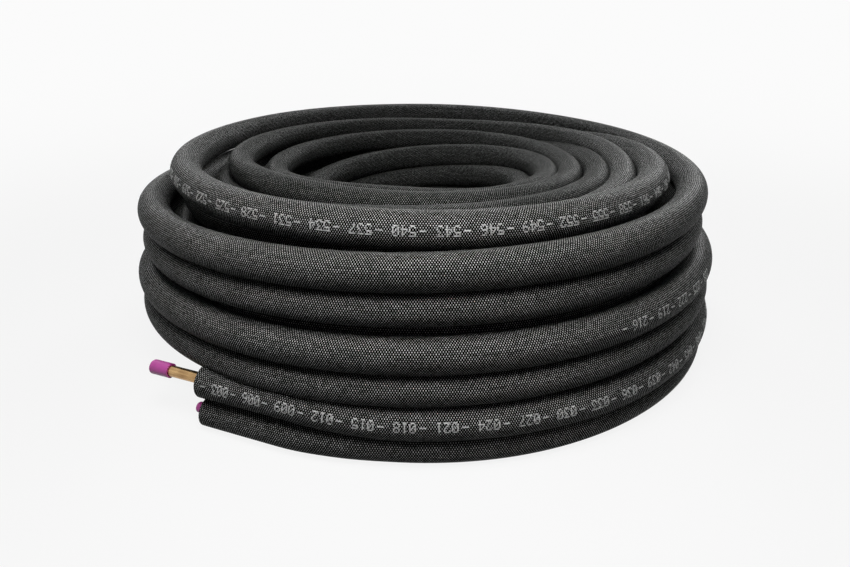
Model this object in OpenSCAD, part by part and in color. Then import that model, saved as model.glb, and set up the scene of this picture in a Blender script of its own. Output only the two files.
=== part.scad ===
// Pre-insulated copper pair coil: a gas tube and a liquid tube, each in a foam
// sleeve, bonded side by side and wound into a free-standing coil.
// The coil stands on its end: +Z is the coil axis, z = 0 is the floor.

/* [Copper tubes] */
// Outside diameter of the larger tube (3/8 inch)
gas_d = 9.52; // [6.35:0.01:15.88]
// Outside diameter of the smaller tube (1/4 inch)
liquid_d = 6.35; // [4.76:0.01:9.52]
// Wall of both copper tubes
tube_wall = 0.8; // [0.6:0.05:1.2]
// Copper that runs back inside the sleeve from a cut end
tube_seat = 45; // [30:1:60]
// Bare copper between the sleeve and the cap of the larger tube, at the outer end
gas_bare = 36; // [0:1:60]
// Bare copper between the sleeve and the cap of the smaller tube, at the outer end
liquid_bare = 1; // [0:1:60]

/* [Insulation] */
// Foam wall round the larger tube
gas_foam = 10; // [6:0.5:13]
// Foam wall round the smaller tube
liquid_foam = 10; // [6:0.5:13]
// Width of the strip that bonds the two sleeves
bond_w = 7; // [4:0.5:12]
// Clearance between one sleeve and the next above it
sleeve_gap = 0.5; // [0.3:0.1:2]
// Clearance between a copper tube and the foam or the cap round it
tube_clearance = 0.2; // [0.1:0.05:0.4]
// How far the foam settles flat where it stands on the floor
rest_flat = 0.3; // [0.1:0.05:1]

/* [Winding] */
// Radius of the outer turns, at the middle of the tube
outer_r = 285; // [220:1:400]
// Layers of turns from the outside to the bore
layers = 6; // [3:1:6]
// Clearance between one layer and the next
layer_gap = 1.5; // [0.5:0.5:6]
// Turns in each layer but the innermost
turns = 3; // [2:1:5]
// Turns in the innermost layer, which is lower
inner_turns = 2; // [2:1:5]
// Loose height added to each turn of the outer layer
outer_slack = 0.5; // [0:0.5:10]
// Loose height added to each turn of the second layer
second_slack = 14; // [0:0.5:20]
// Loose height that each further layer loses
slack_fall = 4.5; // [0:0.5:5]
// Loose height added to each turn of the innermost layer
inner_slack = 25; // [0:0.5:30]

/* [Loose ends] */
// Straight stretch at the outer end
tail_l = 75; // [65:1:120]
// How much slimmer the straight tail is than the wound sleeve
tail_slim = 0.2; // [0.1:0.05:1]
// Direction of the outer cut end, from the coil axis
tail_az = 232; // [200:1:260]
// Direction where the bottom turn starts to climb from the floor
climb_start_az = 30; // [25:1:60]
// Direction where the bottom turn has climbed away
climb_end_az = 150; // [120:1:155]
// Direction of the inner cut end, from the coil axis
inner_az = 75; // [30:1:110]
// Room left for the caps of the inner end, along the turn
inner_room = 45; // [30:1:80]

/* [Caps] */
// Wall of a cap
cap_wall = 1.25; // [0.8:0.05:2]
// Thickness of a cap's closed end
cap_end = 1.8; // [1:0.1:3]
// Length of the cap on the larger tube
gas_cap_l = 20; // [12:1:30]
// Length of the cap on the smaller tube
liquid_cap_l = 10; // [8:1:30]
// Rounding of a cap's closed end
cap_round = 2.2; // [0.5:0.1:3]

/* [Hidden] */
$fn = 96;

gas_r = gas_d / 2 + gas_foam;
liquid_r = liquid_d / 2 + liquid_foam;
layer_pitch = 2 * gas_r + layer_gap;
pair_step = gas_r + liquid_r + sleeve_gap;
inner_layer = layers - 1;
liquid_z0 = liquid_r - rest_flat;
room_margin = 10;
tail_root = 4;

// Radius of a layer, counted from the outside.
function layer_r(layer) = outer_r - layer * layer_pitch;
// Highest turn of a layer, counted from 0.
function top_turn(layer) = (layer == inner_layer ? inner_turns : turns) - 1;
// Loose height added to each turn of a layer.
function nested_slack(layer) = max(0, second_slack - (layer - 1) * slack_fall);
function slack(layer) = layer == 0 ? outer_slack : layer == inner_layer ? inner_slack : nested_slack(layer);
// Height of the smaller sleeve's centre in a turn, and of the larger one above it.
function liquid_z(layer, turn) = liquid_z0 + turn * (2 * pair_step + slack(layer));
function gas_z(layer, turn) = liquid_z(layer, turn) + pair_step;

// Direction where the straight tail leaves the bottom outer turn.
tail_start_az = tail_az + atan(tail_l / layer_r(0));
// The arc that the inner end leaves free in the bottom turn of the inner layer.
inner_gap_deg = inner_room / layer_r(inner_layer) * 180 / PI;

// Section of the whole winding: the sleeves that show, round a plain core.
module gas_sleeve(layer, turn) {
    translate([layer_r(layer), gas_z(layer, turn)]) circle(gas_r);
}

module liquid_sleeve(layer, turn) {
    translate([layer_r(layer), liquid_z(layer, turn)]) circle(liquid_r);
}

// The strip that bonds the two sleeves of a turn, from one centre to the other.
module bond_strip(layer, turn) {
    translate([layer_r(layer) - bond_w / 2, liquid_z(layer, turn)]) square([bond_w, pair_step]);
}

module core_section() {
    top = [for (layer = [0 : inner_layer]) [layer_r(layer), gas_z(layer, top_turn(layer))]];
    bottom = [[layer_r(inner_layer), liquid_z0], [layer_r(0), liquid_z0]];
    polygon(concat(top, bottom));
}

module winding_section() {
    difference() {
        union() {
            core_section();
            for (layer = [0, inner_layer])
                for (turn = [0 : top_turn(layer)]) {
                    gas_sleeve(layer, turn);
                    liquid_sleeve(layer, turn);
                    bond_strip(layer, turn);
                }
            for (layer = [1 : inner_layer - 1]) {
                gas_sleeve(layer, top_turn(layer));
                liquid_sleeve(layer, 0);
            }
        }
        floor_cut(2 * outer_r);
    }
}

// The floor, which the lowest sleeves settle on.
module floor_cut(reach) {
    translate([-reach, -liquid_r]) square([2 * reach, liquid_r]);
}

// Section of the twin sleeve's straight tail, with its middle line at x = 0.
module tail_section() {
    difference() {
        union() {
            translate([0, gas_z(0, 0)]) circle(gas_r - tail_slim);
            translate([0, liquid_z0]) circle(liquid_r - tail_slim);
            translate([-bond_w / 2, liquid_z0]) square([bond_w, pair_step]);
        }
        floor_cut(2 * gas_r);
    }
}

// Space under the bottom outer turn as it climbs one turn's height round the back,
// and the space it leaves free from there to the straight tail.
module bottom_turn_space(from_az, to_az) {
    roof = liquid_z(0, 1) - liquid_r - sleeve_gap / 2;
    wall = layer_r(0) - gas_r - layer_gap / 2;
    rotate_extrude(angle = to_az - from_az, start = from_az)
        translate([wall, -room_margin])
            square([layer_pitch + room_margin, roof + room_margin]);
}

module climb_space() {
    turn_h = liquid_z(0, 1) - liquid_z0;
    reach = 3 * outer_r;
    intersection() {
        bottom_turn_space(climb_start_az, climb_end_az);
        translate([0, 0, turn_h / 2]) rotate([0, atan(turn_h / (2 * outer_r)), 0])
            translate([-reach / 2, -reach / 2, -reach]) cube(reach);
    }
    bottom_turn_space(climb_end_az, tail_start_az);
}

// Space in the bore wall for the caps of the inner end.
module inner_end_space() {
    low = -room_margin;
    high = gas_z(inner_layer, 0) + gas_r + sleeve_gap / 2;
    wall = layer_r(inner_layer) + gas_r + layer_gap / 2;
    bore = layer_r(inner_layer) - gas_r - room_margin;
    rotate_extrude(angle = inner_gap_deg, start = inner_az)
        translate([bore, low]) square([wall - bore, high - low]);
}

// Places children at a cut end: the cut is the plane y = 0 and the tube leaves along -Y.
module at_outer_end() {
    rotate([0, 0, tail_start_az]) translate([layer_r(0), -tail_l, 0]) children();
}

module at_inner_end() {
    rotate([0, 0, inner_az]) translate([layer_r(inner_layer), 0, 0]) mirror([0, 1, 0]) children();
}

// A round bar along Y from the depth behind a cut end to the length in front of it.
module along_tube(radius, depth, length) {
    translate([0, depth, 0]) rotate([90, 0, 0]) cylinder(r = radius, h = depth + length);
}

module seat_bores(gas_height, liquid_height) {
    translate([0, 0, gas_height]) along_tube(gas_d / 2 + tube_clearance, tube_seat, room_margin);
    translate([0, 0, liquid_height]) along_tube(liquid_d / 2 + tube_clearance, tube_seat, room_margin);
}

module insulation() {
    color("#26272a")
        difference() {
            union() {
                difference() {
                    rotate_extrude() winding_section();
                    climb_space();
                    inner_end_space();
                }
                at_outer_end() translate([0, tail_l + tail_root, 0]) rotate([90, 0, 0])
                    linear_extrude(tail_l + tail_root) tail_section();
            }
            at_outer_end() seat_bores(low_gas_z, liquid_z0);
            at_inner_end() seat_bores(low_gas_z, liquid_z0);
        }
}

// Visible end of a copper tube: it starts in the sleeve and ends in the cap.
module tube_end(diameter, bare, cap_l) {
    reach = bare + cap_l - cap_end - tube_clearance;
    difference() {
        along_tube(diameter / 2, tube_seat - tube_clearance, reach);
        along_tube(diameter / 2 - tube_wall, tube_seat, reach + room_margin);
    }
}

// Push-on cap, open towards the sleeve and rounded at its closed end.
module cap(diameter, bare, cap_l) {
    bore = diameter / 2 + tube_clearance;
    radius = bore + cap_wall;
    translate([0, -bare, 0]) rotate([90, 0, 0])
        difference() {
            rotate_extrude() {
                square([radius, cap_l - cap_round]);
                square([radius - cap_round, cap_l]);
                translate([radius - cap_round, cap_l - cap_round])
                    intersection() {
                        circle(cap_round);
                        square(cap_round);
                    }
            }
            translate([0, 0, -room_margin]) cylinder(r = bore, h = cap_l - cap_end + room_margin);
        }
}

low_gas_z = gas_z(0, 0);
inner_bare = 1;

module gas_tube() {
    color("#c98a52") {
        at_outer_end() translate([0, 0, low_gas_z]) tube_end(gas_d, gas_bare, gas_cap_l);
        at_inner_end() translate([0, 0, low_gas_z]) tube_end(gas_d, inner_bare, gas_cap_l);
    }
}

module liquid_tube() {
    color("#c98a52") {
        at_outer_end() translate([0, 0, liquid_z0]) tube_end(liquid_d, liquid_bare, liquid_cap_l);
        at_inner_end() translate([0, 0, liquid_z0]) tube_end(liquid_d, inner_bare, liquid_cap_l);
    }
}

module gas_caps() {
    color("#c24a9c") {
        at_outer_end() translate([0, 0, low_gas_z]) cap(gas_d, gas_bare, gas_cap_l);
        at_inner_end() translate([0, 0, low_gas_z]) cap(gas_d, inner_bare, gas_cap_l);
    }
}

module liquid_caps() {
    color("#c24a9c") {
        at_outer_end() translate([0, 0, liquid_z0]) cap(liquid_d, liquid_bare, liquid_cap_l);
        at_inner_end() translate([0, 0, liquid_z0]) cap(liquid_d, inner_bare, liquid_cap_l);
    }
}

insulation();
gas_tube();
liquid_tube();
gas_caps();
liquid_caps();
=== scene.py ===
# %% [markdown]
# # An insulated copper pair coil
#
# The object is a length of twin refrigeration line: two copper tubes, each in a black foam sleeve,
# the sleeves bonded side by side and wound into a coil that lies flat on the floor. The exact part
# gives the sizes, the copper ends and the caps. This lesson winds the sleeves as they really run, as
# one long climbing path, and dresses everything in procedural materials.

import math

import bpy
import numpy as np
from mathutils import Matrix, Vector


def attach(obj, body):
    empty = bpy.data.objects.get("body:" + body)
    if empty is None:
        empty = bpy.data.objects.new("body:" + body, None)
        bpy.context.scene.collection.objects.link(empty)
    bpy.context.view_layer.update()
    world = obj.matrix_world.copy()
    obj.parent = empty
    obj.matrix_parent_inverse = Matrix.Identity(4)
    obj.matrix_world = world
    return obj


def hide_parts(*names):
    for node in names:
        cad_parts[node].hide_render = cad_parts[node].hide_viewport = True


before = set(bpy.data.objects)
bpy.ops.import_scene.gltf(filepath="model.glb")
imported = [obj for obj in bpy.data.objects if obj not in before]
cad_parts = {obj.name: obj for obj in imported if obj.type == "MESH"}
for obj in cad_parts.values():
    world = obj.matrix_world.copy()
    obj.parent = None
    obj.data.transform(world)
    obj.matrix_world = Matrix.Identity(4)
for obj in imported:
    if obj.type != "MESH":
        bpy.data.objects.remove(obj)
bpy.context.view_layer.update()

# %% [markdown]
# ## The sizes that everything hangs on
#
# All lengths are in millimetres until a mesh is made, and the two ends are directions in degrees. A
# sleeve is a tube with foam round it, and the larger sleeve lies above the smaller one in the outer
# turns. The cut ends have to meet the copper of the exact part, so the radius, the height and the
# direction of both ends are the same numbers there and here. On the floor the foam is pressed a
# little flat.

# %% Sizes
MM = 0.001
LARGE_TUBE = 9.52
SMALL_TUBE = 6.35
FOAM = 10.0
TUBE_FIT = 0.2
SLEEVE_GAP = 0.5
PRESSED_FLAT = 0.3
TAIL_START = 246.743
TAIL_LENGTH = 75.0
INNER_END = 2955.0
LARGE_R = LARGE_TUBE / 2 + FOAM
SMALL_R = SMALL_TUBE / 2 + FOAM
LARGE_BORE = LARGE_TUBE / 2 + TUBE_FIT
SMALL_BORE = SMALL_TUBE / 2 + TUBE_FIT
PAIR_STEP = LARGE_R + SMALL_R + SLEEVE_GAP
FLOOR_Z = SMALL_R - PRESSED_FLAT + PAIR_STEP
print(f"twin sleeve height: {2 * LARGE_R + 2 * SMALL_R:.2f} mm, lowest turn at {FLOOR_Z:.2f} mm")

# %% [markdown]
# ## The winding as a table
#
# A coil is easiest to describe by how far round it has gone. Each row below is a direction in
# degrees, the radius there, the height of the larger sleeve's centre, and the roll of the pair: at
# 0 the smaller sleeve hangs straight below the larger one, at 90 it lies beside it on the inside,
# and past that it rides on top. Counting starts at the cut end on the floor (270 is the front, 360
# the right, 450 the back) and never restarts, so one whole turn adds 360. The first three turns
# climb the outside, mostly round the back, as in a hand-wound coil; then the pair rolls over as it
# nests inwards across the top, and goes down the wall of the bore. The second table is for the turns
# inside, which only have to fill the coil so that no light comes through between the others.

# %% Rows of the winding
WINDING = np.array([
    (TAIL_START, 285.0, FLOOR_Z, 0), (256, 285.0, 39.0, 4), (266, 285.0, 37.0, 8),
    (300, 285.5, 37.0, 8), (330, 286.0, 38.6, 6), (345, 286.0, 40.0, 3), (362, 286.0, 42.3, 0),
    (405, 286.0, 48.0, 0), (450, 286.0, 58.0, 0), (495, 285.5, 70.0, 0), (540, 285.0, 82.0, 0),
    (563, 285.0, 86.0, 0), (590, 285.0, 90.0, 0), (630, 285.0, 93.2, 0), (697, 284.0, 99.5, 0),
    (720, 284.0, 102.0, 0), (810, 282.0, 120.0, 0), (900, 279.0, 145.0, 0), (923, 278.5, 149.0, 0),
    (990, 281.0, 157.0, 0), (1057, 273.0, 164.5, 0), (1080, 271.0, 167.0, 0), (1170, 268.0, 178.0, 0),
    (1260, 244.0, 182.5, 10), (1350, 255.0, 180.0, 55), (1440, 233.0, 174.0, 90),
    (1530, 231.0, 151.0, 130), (1620, 211.0, 152.0, 148), (1710, 199.0, 167.0, 100),
    (1800, 182.0, 165.0, 90), (1890, 202.0, 141.0, 130), (1980, 183.0, 141.0, 132),
    (2070, 143.0, 162.0, 85), (2160, 131.0, 158.0, 60), (2250, 146.0, 143.0, 40),
    (2340, 131.0, 129.0, 25), (2430, 130.0, 117.0, 10), (2520, 129.9, 106.0, 0),
    (2595, 129.9, 98.0, 0), (2700, 129.9, 83.0, 0), (2790, 129.9, 66.0, 0), (2880, 129.9, 49.0, 0),
    (2925, 129.9, FLOOR_Z, 0), (INNER_END, 129.9, FLOOR_Z, 0),
])
BURIED = np.array([
    (0, 161.0, FLOOR_Z, 0), (1170, 255.0, FLOOR_Z, 0), (1350, 255.0, 97.0, 0),
    (2160, 190.0, 97.0, 0), (2340, 195.0, 122.0, 90), (2700, 200.0, 122.0, 90),
    (2880, 252.0, 122.0, 90), (3240, 252.0, 122.0, 90),
])
print(len(WINDING), "rows for the winding that shows,", len(BURIED), "for the turns inside it")

# %% [markdown]
# ## From rows to a smooth path
#
# Joining the rows with straight lines would leave a kink at every row, and a plain cubic would
# overshoot between them. The slopes here are limited the way drawing programs do it: where two
# neighbouring stretches disagree in sign the slope is zero, else it is their harmonic mean.

# %% Curves through the rows
TAIL_STEPS = 30
DEGREES_A_STEP = 0.5


def smooth_through(keys, values, x):
    """Cubic Hermite curve through (keys, values), with harmonic-mean slopes so it never overshoots."""
    steps = np.diff(keys)
    rise = np.diff(values) / steps
    both = rise[:-1] * rise[1:]
    safe = np.where(both > 0, rise[:-1] + rise[1:], 1.0)
    slope = np.concatenate([[0.0], np.where(both > 0, 2 * both / safe, 0.0), [0.0]])
    i = np.clip(np.searchsorted(keys, x, side="right") - 1, 0, len(steps) - 1)
    t = (x - keys[i]) / steps[i]
    lead = values[i] * (1 + 2 * t) * (1 - t) ** 2 + values[i + 1] * t * t * (3 - 2 * t)
    return lead + steps[i] * (slope[i] * t * (1 - t) ** 2 + slope[i + 1] * t * t * (t - 1))


def wind(rows, tail):
    """Paths of both sleeves. The larger one has the rows' radius and height; the smaller one lies a
    pair step from it, turned by the roll from straight below through inwards, but never sinks into
    the floor, where its foam gives way instead. A straight tail may lead in."""
    stop = rows[-1, 0]
    turn = np.minimum(np.arange(rows[0, 0], stop + DEGREES_A_STEP / 2, DEGREES_A_STEP), stop)
    radius, height, roll = [smooth_through(rows[:, 0], rows[:, k], turn) for k in (1, 2, 3)]
    angle = np.radians(turn)
    reach = PAIR_STEP * np.sin(np.radians(roll))
    drop = PAIR_STEP * np.cos(np.radians(roll))
    paths = []
    for r, z in ((radius, height), (radius - reach, height - drop)):
        above = np.maximum(z, FLOOR_Z - PAIR_STEP)
        path = np.stack([r * np.cos(angle), r * np.sin(angle), above], axis=1)
        if tail > 0:
            back = np.array([np.sin(angle[0]), -np.cos(angle[0]), 0.0])
            away = np.linspace(tail, 0.0, TAIL_STEPS + 1)[:-1]
            path = np.concatenate([path[0] + away[:, None] * back, path])
        paths.append(path)
    return paths


def lengths(path):
    """Distance run along the path at each of its points: the sum of the steps up to there."""
    return np.concatenate([[0.0], np.cumsum(np.linalg.norm(np.diff(path, axis=0), axis=1))])


large_path, small_path = wind(WINDING, TAIL_LENGTH)
buried_large_path, buried_small_path = wind(BURIED, 0.0)
wound = lengths(large_path)[-1] + lengths(buried_large_path)[-1]
print(f"tube on the coil: {wound * MM:.2f} m")

# %% [markdown]
# ## A tube round a path
#
# A sleeve is a ring of points carried along the path: one parameter runs along, the other round.
# At each point the tangent gives the direction of travel, its cross product with the vertical
# points outwards from the coil, and a third vector completes the set. The ends are part of the
# same grid: the rings there shrink to the bore and step inside it, so the cut faces and the mouth
# of the bore need no separate mesh. A perfectly round sleeve would look hard, so a slow unevenness
# is added to the radius, as in soft foam.

# %% Sleeves as grids of points
BORE_DEPTH = 14.0
EDGE = 0.6


def directions(path):
    """Outward and upward unit vectors: travel crossed with the vertical, then crossed back."""
    travel = np.gradient(path, axis=0)
    travel /= np.linalg.norm(travel, axis=1)[:, None]
    out = np.cross(travel, (0.0, 0.0, 1.0))
    out /= np.linalg.norm(out, axis=1)[:, None]
    return out, np.cross(out, travel)


def swell(along, around):
    """Small unevenness of soft foam: three slow waves that turn as they run, in millimetres."""
    first = np.sin(along / 97.0 + 1.3) * np.cos(2 * around + 0.4)
    second = np.sin(along / 41.0 - 2 * around)
    third = np.sin(along / 153.0 + 0.7) * np.cos(3 * around - along / 260.0)
    return 0.22 * first + 0.13 * second + 0.2 * third


def tube_points(path, radius, along, around):
    """The path at `along` plus the radius turned by `around` from outwards to up, above the floor."""
    distance = lengths(path)
    out, up = directions(path)

    def at(field):
        return np.stack([np.interp(along, distance, field[:, k]) for k in range(3)], axis=-1)

    spoke = np.cos(around)[..., None] * at(out) + np.sin(around)[..., None] * at(up)
    points = at(path) + radius[..., None] * spoke
    points[..., 2] = np.maximum(points[..., 2], 0.0)
    return points


def sleeve_grid(path, radius, bore, sides, spacing, buried):
    """Distance along, angle round and radius on a grid of rings, with the cut ends folded in."""
    total = lengths(path)[-1]
    rings = np.linspace(0.0, total, int(total / spacing) + 1)
    size = np.full(len(rings), radius)
    if not buried:
        depth = np.array([BORE_DEPTH, 0.0, 0.0, EDGE])
        width = np.array([bore, bore, radius - EDGE, radius])
        rings = np.concatenate([depth, rings[1:-1], total - depth[::-1]])
        size = np.concatenate([width, size[1:-1], width[::-1]])
    around = np.linspace(-np.pi, np.pi, sides + 1)
    along, turned = np.meshgrid(rings, around, indexing="ij")
    wide = np.repeat(size[:, None], sides + 1, axis=1)
    wide = wide + np.where(wide > bore, swell(along, turned), 0.0)
    return along, turned, wide


sampled = swell(*np.meshgrid(np.arange(0.0, wound, 10.0), np.linspace(0.0, math.tau, 24)))
print(f"unevenness of the foam: {sampled.min():.2f} to {sampled.max():.2f} mm")

# %% [markdown]
# ## From grids to meshes
#
# Neighbouring rings are joined by quads, and the last step round goes back to the first point, so a
# sleeve has no seam. One many-sided face closes each end: deep inside the bore where the end shows,
# and straight across where it is buried. Two UV maps go on: one counts repeats of the embossed
# pattern, and a whole number of them fits round; the other holds metres along and turns round, for
# everything slower. The cut ends get the second material.

# %% Meshes from grids
EMBOSS_ALONG = 1.95
LARGE_STUDS = 29
SMALL_STUDS = 26
CUT_RINGS = 3


def grid_faces(count, sides):
    """Quads between neighbouring rings, and one face with all the corners of a ring at each end."""
    ring = np.arange(count - 1)[:, None] * sides
    side = np.arange(sides)[None, :]
    after = (side + 1) % sides
    corners = [ring + side, ring + sides + side, ring + sides + after, ring + after]
    last = (count - 1) * sides
    ends = [list(range(sides)), list(range(last + sides - 1, last - 1, -1))]
    return np.stack(corners, axis=-1).reshape(-1, 4).tolist() + ends


def corner_places(along, turned):
    """Distance along and turns round at each corner of each face, in order, and 0 on the end faces."""
    here, there = along[:-1, :-1], along[1:, 1:]
    low, high = turned[:-1, :-1] / math.tau, turned[1:, 1:] / math.tau
    ends = np.zeros(2 * here.shape[1])
    distance = np.stack([here, there, there, here], axis=-1).reshape(-1)
    turns = np.stack([low, low, high, high], axis=-1).reshape(-1)
    return np.concatenate([distance, ends]), np.concatenate([turns, ends])


def add_uv(mesh, name, across, up):
    """One UV map, from a pair of values for each corner of each face."""
    layer = mesh.uv_layers.new(name=name)
    layer.data.foreach_set("uv", np.stack([across, up], axis=-1).reshape(-1))


def add_piece(name, mesh):
    """An object at the origin that shows the mesh."""
    piece = bpy.data.objects.new(name, mesh)
    bpy.context.collection.objects.link(piece)
    return piece


def sleeve_mesh(name, path, radius, bore, sides, spacing, repeats, buried=False):
    """Piece of a whole sleeve: its grid as a mesh, its two UV maps, and the index that sets its skin and
    cut faces apart.
    """
    along, turned, wide = sleeve_grid(path, radius, bore, sides, spacing, buried)
    points = tube_points(path, wide, along, turned)[:, :-1]
    mesh = bpy.data.meshes.new(name)
    mesh.from_pydata((points.reshape(-1, 3) * MM).tolist(), [], grid_faces(len(points), sides))
    distance, turns = corner_places(along, turned)
    add_uv(mesh, "emboss", distance / EMBOSS_ALONG, turns * repeats)
    add_uv(mesh, "wrap", distance * MM, turns)
    cut = np.zeros((len(points) - 1, sides), dtype=np.int32)
    if not buried:
        cut[:CUT_RINGS] = 1
        cut[-CUT_RINGS:] = 1
    cut = np.concatenate([cut.reshape(-1), np.ones(2, dtype=np.int32)])
    mesh.polygons.foreach_set("material_index", cut)
    mesh.polygons.foreach_set("use_smooth", cut == 0)
    mesh.update()
    print(name, "-", len(mesh.loops) - 2 * len(mesh.polygons), "triangles")
    return add_piece(name, mesh)


large_sleeve = sleeve_mesh(
    "larger_sleeve", large_path, LARGE_R, LARGE_BORE, sides=44, spacing=9.0, repeats=LARGE_STUDS)
small_sleeve = sleeve_mesh(
    "smaller_sleeve", small_path, SMALL_R, SMALL_BORE, sides=40, spacing=9.0, repeats=SMALL_STUDS)
buried_large = sleeve_mesh(
    "larger_sleeve_inside", buried_large_path, LARGE_R, 0.0,
    sides=30, spacing=14.0, repeats=LARGE_STUDS, buried=True)
buried_small = sleeve_mesh(
    "smaller_sleeve_inside", buried_small_path, SMALL_R, 0.0,
    sides=28, spacing=14.0, repeats=SMALL_STUDS, buried=True)

# %% [markdown]
# ## Printed figures
#
# Such line is printed by a dot-matrix head as it is made. Here the print is a running length, like
# the numbers on a tape measure: the centimetres from the cut end, every thirty millimetres. Each
# figure is five dots by seven, written as seven numbers whose bits are the dots of a row. The
# position along the sleeve gives the column, the angle round it the row. The coil was laid down with
# its print upside down, so both run backwards.

# %% Places of the dots
FIGURES = {
    "0": (14, 17, 19, 21, 25, 17, 14), "1": (4, 12, 4, 4, 4, 4, 14), "2": (14, 17, 1, 2, 4, 8, 31),
    "3": (31, 2, 4, 2, 1, 17, 14), "4": (2, 6, 10, 18, 31, 2, 2), "5": (31, 16, 30, 1, 1, 17, 14),
    "6": (6, 8, 16, 30, 17, 17, 14), "7": (31, 1, 2, 4, 8, 8, 8), "8": (14, 17, 17, 14, 17, 17, 14),
    "9": (14, 17, 17, 15, 1, 2, 12), "-": (0, 0, 0, 31, 0, 0, 0), " ": (0, 0, 0, 0, 0, 0, 0),
}
PRINT_SPANS = [(0, 346), (400, 470), (654, 690), (770, 840), (902, 920), (1266, 1432), (2092, 2140)]
PRINT_LEAN = 15.0
PRINT_SWAY = 2.5
PRINT_OFFSET = 4.0
MARK_STEP = 30.0
DOT_ALONG = 0.95
DOT_ROUND = 1.2


def figure_dots(text):
    """Column and row of every dot in a line of figures, the row counted up from the middle."""
    dots = []
    for place, figure in enumerate(text):
        for row, bits in enumerate(FIGURES[figure]):
            dots += [(place * 6 + col, 3 - row) for col in range(5) if bits >> (4 - col) & 1]
    return np.array(dots, dtype=float)


def turn_places(path, rows):
    """Turned angle at each point of a wound path, with the straight tail at the first angle."""
    turn = np.linspace(rows[0, 0], rows[-1, 0], len(path) - TAIL_STEPS)
    return np.concatenate([np.full(TAIL_STEPS, rows[0, 0]), turn])


distance_along = lengths(large_path)
turn_along = turn_places(large_path, WINDING)
spots = []
for start, stop in PRINT_SPANS:
    first, last = np.interp([start, stop], turn_along, distance_along)
    lean = math.radians(PRINT_LEAN + PRINT_SWAY * math.sin(start))
    lowest = math.ceil(first / MARK_STEP + 1) * MARK_STEP + PRINT_OFFSET
    for mark in np.arange(lowest, last, MARK_STEP):
        columns, rows = figure_dots(f"{int(mark / 10):03d} -").T
        spots.append(np.stack([mark - columns * DOT_ALONG, lean - rows * DOT_ROUND / LARGE_R], axis=1))
spots = np.concatenate(spots)
print(len(spots), "printed dots")

# %% [markdown]
# ## Dots with a body
#
# A dot could be one square laid over the skin, but loose squares are no solid thing to hand on. Each
# is a pad with six faces instead, sunk into the foam and a hair proud of it. All pads are worked out
# at once: four corners of a square, at two heights, round every spot.

# %% Dots on the larger sleeve
DOT_HALF = 0.47
INK_SUNK = 0.3
INK_PROUD = 0.16
PAD_FACES = np.array([(3, 2, 1, 0), (4, 5, 6, 7), (0, 1, 5, 4), (1, 2, 6, 5), (2, 3, 7, 6), (3, 0, 4, 7)])

square = np.array([(-1, -1), (1, -1), (1, 1), (-1, 1)]) * DOT_HALF
dot_along = np.tile(spots[:, :1] + square[None, :, 0], 2)
dot_around = np.tile(spots[:, 1:] + square[None, :, 1] / LARGE_R, 2)
dot_lift = LARGE_R + swell(dot_along, dot_around) + np.repeat([-INK_SUNK, INK_PROUD], 4)
dot_points = tube_points(large_path, dot_lift, dot_along, dot_around).reshape(-1, 3)
dot_faces = (np.arange(len(spots))[:, None, None] * 8 + PAD_FACES).reshape(-1, 4)
dot_mesh = bpy.data.meshes.new("printed_figures")
dot_mesh.from_pydata((dot_points * MM).tolist(), [], dot_faces.tolist())
printed = add_piece("printed_figures", dot_mesh)
print(len(dot_faces), "faces of ink")

# %% [markdown]
# ## Shader arithmetic that reads like arithmetic
#
# A material is a graph of small nodes. Wrapping a socket in a class with ordinary operators lets a
# formula stay a formula: each plus or times adds a Math node behind the scenes, and one method adds
# any other node.


# %% Sockets with operators
class Wire:
    """One value on its way through a material."""

    def __init__(self, tree, socket):
        self.tree = tree
        self.socket = socket

    def node(self, kind, inputs=None, output=0, **settings):
        """Adds a node, plugs wires or constants into it and returns the wire of one output."""
        made = self.tree.nodes.new(kind)
        for name, value in settings.items():
            setattr(made, name, value)
        for name, value in (inputs or {}).items():
            if isinstance(value, Wire):
                self.tree.links.new(value.socket, made.inputs[name])
            else:
                made.inputs[name].default_value = value
        return Wire(self.tree, made.outputs[output])

    def maths(self, operation, *values):
        """One Math node on wires or numbers."""
        return self.node("ShaderNodeMath", dict(enumerate(values)), operation=operation)

    def __add__(self, other):
        return self.maths("ADD", self, other)

    def __sub__(self, other):
        return self.maths("SUBTRACT", self, other)

    def __mul__(self, other):
        return self.maths("MULTIPLY", self, other)

    def __rsub__(self, other):
        return self.maths("SUBTRACT", other, self)

    def __rtruediv__(self, other):
        return self.maths("DIVIDE", other, self)

    def __pow__(self, other):
        return self.maths("POWER", self, other)

    __radd__ = __add__
    __rmul__ = __mul__

    def cos(self):
        return self.maths("COSINE", self)

    def sin(self):
        return self.maths("SINE", self)

    def between(self, low, high):
        """This value, held between two limits."""
        return self.maths("MINIMUM", self.maths("MAXIMUM", self, low), high)

    def blend(self, dark, light):
        """Colour that runs from dark to light as this value runs from 0 to 1."""
        return self.node("ShaderNodeMix", {0: self, 6: dark, 7: light}, output=2, data_type="RGBA")


print("a wire can do:", [name for name in vars(Wire) if not name.startswith("_")])

# %% [markdown]
# ## Helpers for materials
#
# Every material here starts in the same way and leans on the same two things: cloudy noise, and a
# bump that turns a height in metres into a tilt of the surface. Short helpers for these leave only
# what is special about a material in its own function.


# %% Materials, noise and bumps
def new_material(name):
    """A material with its Principled shader, and a first wire of Object coordinates."""
    material = bpy.data.materials.new(name)
    material.use_nodes = True
    shader = material.node_tree.nodes["Principled BSDF"]
    place = Wire(material.node_tree, None).node("ShaderNodeTexCoord", output="Object")
    return material, shader, place


def plug(shader, **values):
    """Sets the shader's inputs: constants on the sockets, wires as links. An underscore is a space."""
    for name, value in values.items():
        socket = shader.inputs[name.replace("_", " ")]
        if isinstance(value, Wire):
            value.tree.links.new(value.socket, socket)
        else:
            socket.default_value = value


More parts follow.
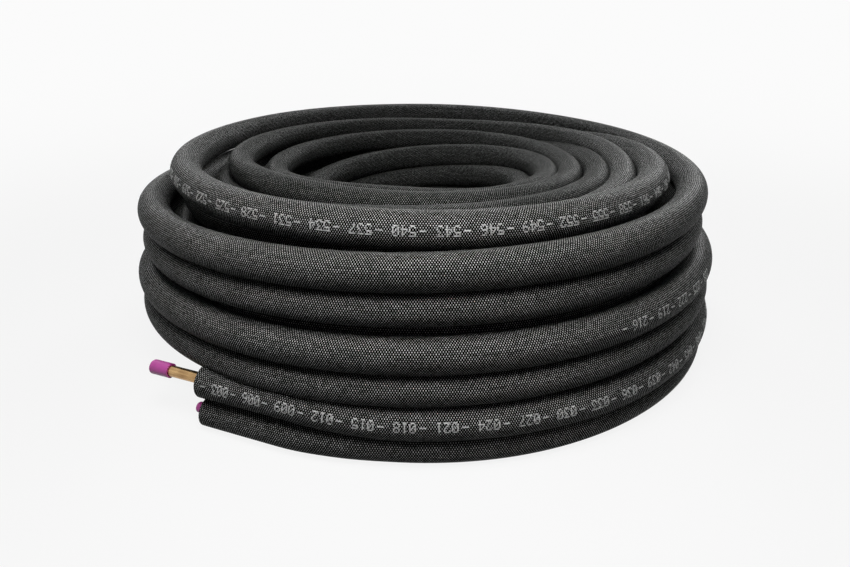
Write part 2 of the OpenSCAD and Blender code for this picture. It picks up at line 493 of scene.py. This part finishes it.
def noise(vector, scale, detail, roughness=0.5):
    """Cloudy noise between 0 and 1, read at a vector."""
    inputs = {"Vector": vector, "Scale": scale, "Detail": detail, "Roughness": roughness}
    return vector.node("ShaderNodeTexNoise", inputs)


def bumps(height, strength=1.0):
    """Normals of a surface raised by a height in metres."""
    return height.node("ShaderNodeBump", {"Strength": strength, "Distance": 1.0, "Height": height})


def uv_parts(wire, name):
    """The two values of a UV map."""
    pair = wire.node("ShaderNodeUVMap", uv_map=name)
    return [pair.node("ShaderNodeSeparateXYZ", {0: pair}, output=k) for k in (0, 1)]


def sleeve_noise(run, angle, pace, width, detail, roughness=0.5):
    """Noise that closes round a sleeve: the angle goes round a circle while the run goes along."""
    spot = {0: run * pace, 1: angle.cos() * width, 2: angle.sin() * width}
    return noise(run.node("ShaderNodeCombineXYZ", spot), 1.0, detail, roughness)


print("helpers for materials are ready")

# %% [markdown]
# ## The embossed skin
#
# The film on the foam is pressed with staggered studs a couple of millimetres apart. The product of
# a cosine along the sleeve and one round it makes just such a lattice, and because a whole number
# of repeats fits round the sleeve there is no seam. The tops of the studs are painted pale as
# glints, the light they catch, unevenly from stud to stud, and on the turns inside they are dimmed
# as painted shade. Slow noise, stretched along the sleeve, adds the faint lengthwise creases; it is
# sampled on a circle so that it closes on itself too. A cut face shows the foam's own cells, for
# which Voronoi noise is made.

# %% Foam materials
INSIDE_FROM = 5600.0
STUD_HEIGHT = 0.00014
CREASE_HEIGHT = 0.0011
SCUFF_HEIGHT = 0.00012
FILM_BLACK = (0.0022, 0.0032, 0.002, 1)
# Pale stud colour: painted glints, the light the stud tops catch, put into the colour.
FILM_PAINTED_GLINT = (0.72, 0.72, 0.72, 1)
CUT_DARK = (0.010, 0.011, 0.011, 1)
CUT_LIGHT = (0.055, 0.057, 0.056, 1)


def foam_skin():
    """Black film with painted glints on the studs: lattice times uneven glint is the colour, their sum
    the height.
    """
    material, shader, place = new_material("embossed foam skin")
    along, around = uv_parts(place, "emboss")
    run, turn = uv_parts(place, "wrap")
    angle = turn * math.tau
    lattice = (along * math.tau).cos() * (around * math.tau).cos()
    stud = (lattice * 2.4 - 0.8).between(0.0, 1.0)
    crease = sleeve_noise(run, angle, 5.0, 1.6, 3.0, 0.6)
    scuff = sleeve_noise(run, angle, 40.0, 5.0, 4.0, 0.6)
    glint = sleeve_noise(run, angle, 330.0, 9.0, 1.0)
    dust = noise(place, 9.0, 3.0)
    # Painted shade: past INSIDE_FROM, on the turns inside the bore, the pale studs are painted darker.
    painted_inside_shade = 1.0 - ((run - INSIDE_FROM * MM) * 0.8).between(0.0, 0.45)
    # Strength of the painted glints, uneven from stud to stud, with random scuff and dust.
    painted_glint_strength = (glint * 1.8 - 0.25).between(0.3, 1.0) * (0.4 + scuff * 1.2) * (0.75 + dust * 0.5)
    # Where the painted glints show, dimmed inside by painted shade; the same mask sets the coat.
    painted_glint_mask = (stud * painted_glint_strength * painted_inside_shade).between(0.0, 1.0)
    height = stud * STUD_HEIGHT + crease * CREASE_HEIGHT + scuff * SCUFF_HEIGHT
    plug(shader, Base_Color=painted_glint_mask.blend(FILM_BLACK, FILM_PAINTED_GLINT), Normal=bumps(height),
         Roughness=(0.48 - stud * 0.1 + (dust - 0.5) * 0.12).between(0.25, 0.8), Coat_Weight=painted_glint_mask * 0.5)
    plug(shader, Specular_IOR_Level=0.008, Coat_Roughness=0.38)
    return material


def foam_cut():
    """Dark grey foam with open cells a fraction of a millimetre across."""
    material, shader, place = new_material("cut foam")
    cells = place.node("ShaderNodeTexVoronoi", {"Vector": place, "Scale": 1400.0})
    tone = noise(place, 160.0, 2.0)
    mottle = (tone * 0.8 + cells * 0.4).between(0.0, 1.0)
    plug(shader, Base_Color=mottle.blend(CUT_DARK, CUT_LIGHT), Roughness=0.75 + tone * 0.15,
         Normal=bumps(cells * 0.0003, 0.6))
    return material


sleeves = (large_sleeve, small_sleeve, buried_large, buried_small)
skin = foam_skin()
cut_face = foam_cut()
for piece in sleeves:
    piece.data.materials.append(skin)
    piece.data.materials.append(cut_face)
print("foam materials on", len(sleeves), "sleeves")

# %% [markdown]
# ## Ink, copper and caps
#
# Ink on foam is thin and broken, so its grey is uneven. The copper is drawn tube: metal whose
# colour and roughness vary in fine streaks with a little tarnish. The streaks are noise stretched
# along the tube, which a Mapping node turns to the direction of the cut end. The caps are soft
# moulded plastic, glossy enough to catch the light, with a slightly uneven pigment.

# %% Other materials
INK_THIN = (0.16, 0.162, 0.16, 1)
INK_FULL = (0.72, 0.73, 0.72, 1)
COPPER_DARK = (0.20, 0.105, 0.045, 1)
COPPER_BRIGHT = (0.78, 0.52, 0.25, 1)
CAP_DEEP = (0.44, 0.045, 0.29, 1)
CAP_PALE = (0.60, 0.09, 0.41, 1)
TUBE_TURN = math.radians(TAIL_START - 90.0)
STREAKS = (18.0, 420.0, 420.0)


def ink():
    """Pale ink, broken by fine noise."""
    material, shader, place = new_material("printed ink")
    worn = noise(place, 420.0, 2.0)
    plug(shader, Base_Color=(worn * 2.0 - 0.5).between(0.0, 1.0).blend(INK_THIN, INK_FULL),
         Roughness=0.5 + worn * 0.3)
    return material


def copper():
    """Metal whose tone is tarnish plus streaks along the tube."""
    material, shader, place = new_material("drawn copper")
    lengthwise = place.node("ShaderNodeMapping", {"Vector": place, "Rotation": (0.0, 0.0, -TUBE_TURN)})
    drawn = place.node("ShaderNodeVectorMath", {0: lengthwise, 1: STREAKS}, operation="MULTIPLY")
    streaks = noise(drawn, 1.0, 3.0)
    tarnish = noise(place, 95.0, 4.0, 0.65)
    tone = (tarnish * 0.8 + (streaks - 0.5) * 1.8 + 0.1).between(0.0, 1.0)
    plug(shader, Base_Color=tone.blend(COPPER_DARK, COPPER_BRIGHT), Metallic=1.0,
         Roughness=0.16 + tarnish * 0.2, Normal=bumps(streaks * 0.0001, 0.25))
    return material


def cap_plastic():
    """Pink plastic with a soft shine."""
    material, shader, place = new_material("pink cap plastic")
    pigment = noise(place, 130.0, 3.0)
    plug(shader, Base_Color=pigment.blend(CAP_DEEP, CAP_PALE), Roughness=0.3 + pigment * 0.2,
         Coat_Weight=0.15, Normal=bumps(pigment * 0.0012, 0.3))
    return material


printed.data.materials.append(ink())
dressed = ((("gas_tube", "liquid_tube"), copper()), (("gas_caps", "liquid_caps"), cap_plastic()))
for names, material in dressed:
    for name in names:
        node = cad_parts[name]
        node.data.materials.clear()
        node.data.materials.append(material)
        print(name, "wears", material.name)

# %% [markdown]
# ## Joining the looks to the exact part
#
# The part has no moving pieces, so everything rides on its one body. The sleeves stand in for the
# exact insulation node, whose turns are level rings.

# %% Ride and replace
for piece in sleeves:
    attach(piece, "root")
    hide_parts("insulation")
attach(printed, "root")
print(len(sleeves) + 1, "pieces joined")

# %% [markdown]
# ## Floor and surround
#
# A wide pale floor and an even surround make a plain studio. Lighting a floor until it is white
# would drown a black object in light from below, so the floor and the surround glow only for rays
# that come from the camera, a mirror or glass. For all other light they are dim, and the floor
# still takes a quiet shadow. The glow eases off a little round the object.

# %% Pale floor, even surround
FLOOR_HALF = 60
BLACK = (0, 0, 0, 1)
WHITE = (1, 1, 1, 1)
FLOOR_UNSEEN = (0.10, 0.10, 0.10, 1)
FLOOR_SEEN = (0.07, 0.07, 0.07, 1)
FLOOR_GLOW = 0.95
GLOW_DIP = 0.08
SURROUND_LIGHT = 0.045
SURROUND_GLOW = 0.91


def seen_directly(wire):
    """1 for rays from the camera, a mirror or glass, 0 for light that only bounces."""
    camera_ray, glossy_ray, glass_ray = [
        wire.node("ShaderNodeLightPath", output=f"Is {kind} Ray")
        for kind in ("Camera", "Glossy", "Transmission")]
    return (camera_ray + glossy_ray + glass_ray).between(0.0, 1.0)


corners = [(x * FLOOR_HALF, y * FLOOR_HALF, 0) for x, y in ((-1, -1), (1, -1), (1, 1), (-1, 1))]
floor_mesh = bpy.data.meshes.new("studio_floor")
floor_mesh.from_pydata(corners, [], [(0, 1, 2, 3)])
studio_floor = add_piece("studio_floor", floor_mesh)
floor_material, floor_shader, floor_place = new_material("pale floor")
seen = seen_directly(floor_place)
far = floor_place.node("ShaderNodeVectorMath", {0: floor_place}, output="Value", operation="LENGTH")
glow = FLOOR_GLOW - GLOW_DIP / (far ** 4.0 + 1.0)
plug(floor_shader, Base_Color=seen.blend(FLOOR_UNSEEN, FLOOR_SEEN),
     Emission_Color=(seen * glow).blend(BLACK, WHITE))
plug(floor_shader, Roughness=0.9, Specular_IOR_Level=0.0, Emission_Strength=1.0)
floor_mesh.materials.append(floor_material)

world = bpy.data.worlds.new("even surround")
bpy.context.scene.world = world
world.use_nodes = True
background = world.node_tree.nodes["Background"]
background.inputs["Color"].default_value = WHITE
surround = Wire(world.node_tree, background.inputs["Strength"])
level = SURROUND_LIGHT + seen_directly(surround) * SURROUND_GLOW
world.node_tree.links.new(level.socket, surround.socket)
print("floor and surround set")

# %% [markdown]
# ## Lights
#
# Black foam shows its shape only by what it catches from above. A small softbox hangs over the front
# turns, with its light kept narrow so that the undersides stay dark, and a second one hangs over the
# back. A weak one stands low in front. Two low, even lights from behind draw the edges of the back
# turns; they are suns, because a lamp near the floor would leave a bright patch on it.


# %% Lamps
def lamp_from(kind, name, energy, place, aim):
    """A lamp of one kind at a place, turned to look at the aim, and out of the camera's sight."""
    lamp = bpy.data.objects.new(name, bpy.data.lights.new(name, kind))
    lamp.data.energy = energy
    lamp.visible_camera = False
    lamp.location = place
    lamp.rotation_euler = (Vector(aim) - Vector(place)).to_track_quat("-Z", "Y").to_euler()
    bpy.context.collection.objects.link(lamp)
    return lamp.data


def softbox(name, watts, width, spread, place, aim):
    """A square area lamp whose light is kept within a spread, in degrees."""
    lamp = lamp_from("AREA", name, watts, place, aim)
    lamp.size = width
    lamp.spread = math.radians(spread)


def low_sun(name, strength, place):
    """A soft, even light from one direction, such as a far window gives."""
    lamp = lamp_from("SUN", name, strength, place, (0.0, 0.0, 0.1))
    lamp.angle = math.radians(25)


softbox("softbox over the front", 1.65, 0.4, 85, (-0.03, -0.52, 0.74), (0.0, -0.32, 0.1))
softbox("softbox over the back", 4.0, 0.5, 180, (0.05, 0.80, 0.85), (0.0, 0.2, 0.15))
softbox("low light in front", 0.16, 0.4, 180, (-0.3, -1.1, 0.40), (0.0, -0.3, 0.1))
low_sun("low light behind left", 0.5, (-0.6, 1.2, 0.6))
low_sun("low light behind right", 0.9, (0.7, 1.2, 0.6))
print(len(bpy.data.lights), "lamps")

# %% [markdown]
# ## Camera
#
# The picture is taken from close by, a little above the coil and looking down on it, with a wide
# lens. That is why the front turns look so much larger than those at the back.

# %% Camera
camera = bpy.data.objects.new("camera", bpy.data.cameras.new("camera"))
camera.data.sensor_width = 36.0
camera.data.lens = 29.44
camera.data.shift_y = -0.0706
camera.data.clip_start = 0.01
camera.location = (0.0, -0.737, 0.345)
camera.rotation_euler = (math.radians(90 - 18.37), 0.0, 0.0)
bpy.context.collection.objects.link(camera)
bpy.context.scene.camera = camera
bpy.context.scene.view_settings.view_transform = "Standard"
print("camera at", tuple(camera.location))

# %% [markdown]
